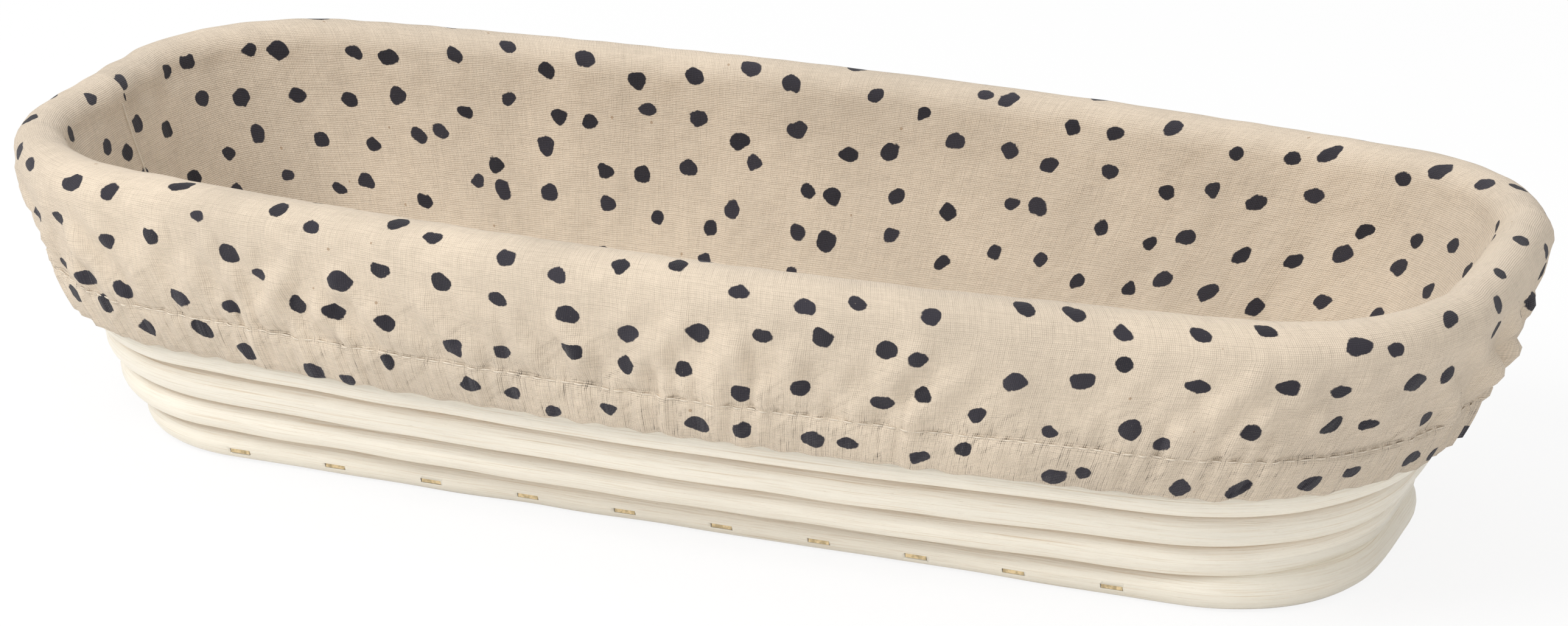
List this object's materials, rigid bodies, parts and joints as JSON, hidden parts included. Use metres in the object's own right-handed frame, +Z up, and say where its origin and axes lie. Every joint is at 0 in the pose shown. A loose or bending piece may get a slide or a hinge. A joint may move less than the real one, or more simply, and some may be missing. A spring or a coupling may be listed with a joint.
{
  "type": "banneton basket",
  "caption": "Long rectangular rattan proofing basket with flared, stapled cane walls and a lift-out printed cotton liner with an elastic hem over the rim.",
  "frame": {"origin": "middle of the base, on the surface the basket stands on", "axes": "+X along the length, +Y towards the back long side, +Z up out of the basket"},
  "size_m": [0.38, 0.162, 0.0797],
  "materials": {
    "rattan_cane": "raw peeled cane, satin",
    "staple_steel": "brass-coloured coated staple wire",
    "liner_cloth": "plain-woven unbleached cotton printed with irregular charcoal spots",
    "elastic_webbing": "white braided elastic",
    "cotton_thread": "white sewing thread"
  },
  "bodies": {
    "basket": {"base_staples": "staple_steel", "floor_cane_1": "rattan_cane", "floor_cane_2": "rattan_cane", "floor_cane_3": "rattan_cane", "floor_staples": "staple_steel", "floor_strip": "rattan_cane", "wall_cane_1": "rattan_cane", "wall_cane_2": "rattan_cane", "wall_cane_3": "rattan_cane", "wall_cane_4": "rattan_cane", "wall_cane_5": "rattan_cane", "wall_cane_6": "rattan_cane", "wall_cane_7": "rattan_cane", "wall_cane_8": "rattan_cane", "wall_staples": "staple_steel"},
    "liner": {"band_seam_stitching": "cotton_thread", "floor_seam_stitching": "cotton_thread", "hem_casing": "liner_cloth", "hem_elastic": "elastic_webbing", "hem_stitching": "cotton_thread", "liner_floor_panel": "liner_cloth", "liner_rim_roll": "liner_cloth", "liner_skirt": "liner_cloth", "liner_wall_band": "liner_cloth"}
  },
  "joints": [
    {"name": "liner_lift", "type": "slide", "parent": "basket", "child": "liner", "axis": [0, 0, 1], "range_m": [0, 0.1], "deforming": ["liner_skirt", "hem_casing", "hem_elastic", "hem_stitching"]}
  ]
}
